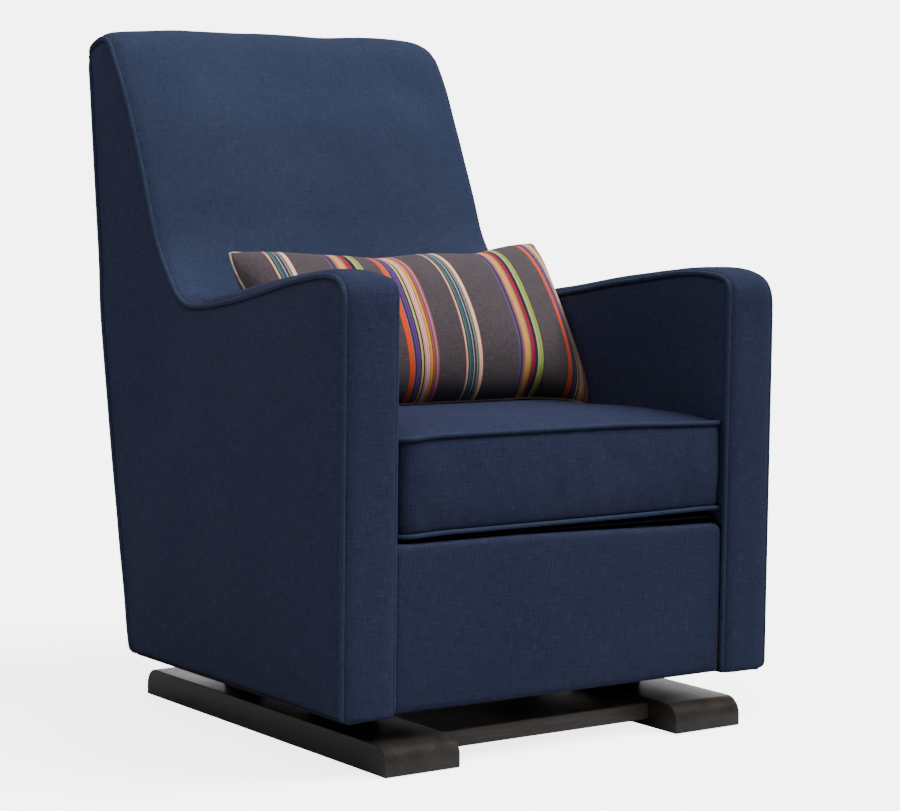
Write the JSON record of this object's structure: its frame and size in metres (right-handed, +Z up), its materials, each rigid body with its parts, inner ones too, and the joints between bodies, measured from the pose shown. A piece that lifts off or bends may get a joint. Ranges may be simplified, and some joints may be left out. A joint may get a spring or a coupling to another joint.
{
  "type": "glider nursery chair",
  "caption": "Upholstered armchair with a high raked back, slim sloping arms, a loose boxed seat cushion and a lumbar pillow, gliding on links over a two-skid timber base.",
  "frame": {"origin": "middle of the footprint box of the whole chair, on the floor", "axes": "+Z up, the chair faces -Y, +X to the right of someone who looks at its front"},
  "size_m": [0.724, 0.8478, 0.988],
  "materials": {
    "upholstery": "matte",
    "outer_back": "matte",
    "cushion": "matte",
    "pillow": "matte",
    "cambric": "matte",
    "timber": "matte",
    "skid_wood": "satin",
    "bracket_steel": "satin",
    "link_steel": "satin",
    "pin_steel": "satin",
    "spring_steel": "satin",
    "felt": "matte",
    "rubber": "matte"
  },
  "bodies": {
    "base": {"skid_left": "skid_wood", "skid_right": "skid_wood", "crossbar_front": "skid_wood", "crossbar_rear": "skid_wood", "floor_glide_front_left": "felt", "tower_front_left": "bracket_steel", "tower_bolt_front_left": "pin_steel", "upper_pivot_pin_front_left": "pin_steel", "floor_glide_front_right": "felt", "tower_front_right": "bracket_steel", "tower_bolt_front_right": "pin_steel", "upper_pivot_pin_front_right": "pin_steel", "floor_glide_rear_left": "felt", "tower_rear_left": "bracket_steel", "tower_bolt_rear_left": "pin_steel", "upper_pivot_pin_rear_left": "pin_steel", "floor_glide_rear_right": "felt", "tower_rear_right": "bracket_steel", "tower_bolt_rear_right": "pin_steel", "upper_pivot_pin_rear_right": "pin_steel", "stop_bumper_left": "rubber", "stop_bumper_right": "rubber"},
    "link_front_left": {"link_front_left": "link_steel", "link_bearing_upper_front_left": "pin_steel", "link_bearing_lower_front_left": "pin_steel"},
    "link_front_right": {"link_front_right": "link_steel", "link_bearing_upper_front_right": "pin_steel", "link_bearing_lower_front_right": "pin_steel"},
    "link_rear_left": {"link_rear_left": "link_steel", "link_bearing_upper_rear_left": "pin_steel", "link_bearing_lower_rear_left": "pin_steel"},
    "link_rear_right": {"link_rear_right": "link_steel", "link_bearing_upper_rear_right": "pin_steel", "link_bearing_lower_rear_right": "pin_steel"},
    "chair": {"lower_pivot_pin_front_left": "pin_steel", "lower_pivot_pin_front_right": "pin_steel", "lower_pivot_pin_rear_left": "pin_steel", "lower_pivot_pin_rear_right": "pin_steel", "hanger_rail_left": "bracket_steel", "side_board_left": "timber", "arm_left": "upholstery", "hanger_rail_right": "bracket_steel", "side_board_right": "timber", "arm_right": "upholstery", "front_rail": "timber", "rear_rail": "timber", "glide_rail_front": "timber", "glide_rail_rear": "timber", "back_top_rail": "timber", "back_upholstery": "upholstery", "front_panel": "upholstery", "outer_back_panel": "outer_back", "seat_deck": "cambric", "dust_cover": "cambric", "seat_spring_1": "spring_steel", "seat_spring_2": "spring_steel", "seat_spring_3": "spring_steel", "seat_spring_4": "spring_steel"},
    "seat_cushion": {"seat_cushion": "cushion"},
    "lumbar_pillow": {"lumbar_pillow": "pillow"}
  },
  "joints": [
    {"name": "glide_swing", "type": "hinge", "parent": "base", "child": "link_front_left", "pos_m": [0, -0.212, 0.205], "axis": [1, 0, 0], "range_deg": [-21, 21]},
    {"name": "chair_level", "type": "hinge", "parent": "link_front_left", "child": "chair", "pos_m": [0, -0.212, 0.1], "axis": [1, 0, 0], "range_deg": [-21, 21]},
    {"name": "link_front_right_swing", "type": "hinge", "parent": "base", "child": "link_front_right", "pos_m": [0, -0.212, 0.205], "axis": [1, 0, 0], "range_deg": [-21, 21]},
    {"name": "link_rear_left_swing", "type": "hinge", "parent": "base", "child": "link_rear_left", "pos_m": [0, 0.018, 0.205], "axis": [1, 0, 0], "range_deg": [-21, 21]},
    {"name": "link_rear_right_swing", "type": "hinge", "parent": "base", "child": "link_rear_right", "pos_m": [0, 0.018, 0.205], "axis": [1, 0, 0], "range_deg": [-21, 21]},
    {"name": "cushion_lift", "type": "slide", "parent": "chair", "child": "seat_cushion", "axis": [0, 0, 1], "range_m": [0, 0.3]},
    {"name": "pillow_lift", "type": "slide", "parent": "seat_cushion", "child": "lumbar_pillow", "axis": [0, 0, 1], "range_m": [0, 0.35]}
  ],
  "couplings": [
    {"joint": "chair_level", "follows": "glide_swing", "ratio": -1},
    {"joint": "link_front_right_swing", "follows": "glide_swing", "ratio": 1},
    {"joint": "link_rear_left_swing", "follows": "glide_swing", "ratio": 1},
    {"joint": "link_rear_right_swing", "follows": "glide_swing", "ratio": 1}
  ]
}
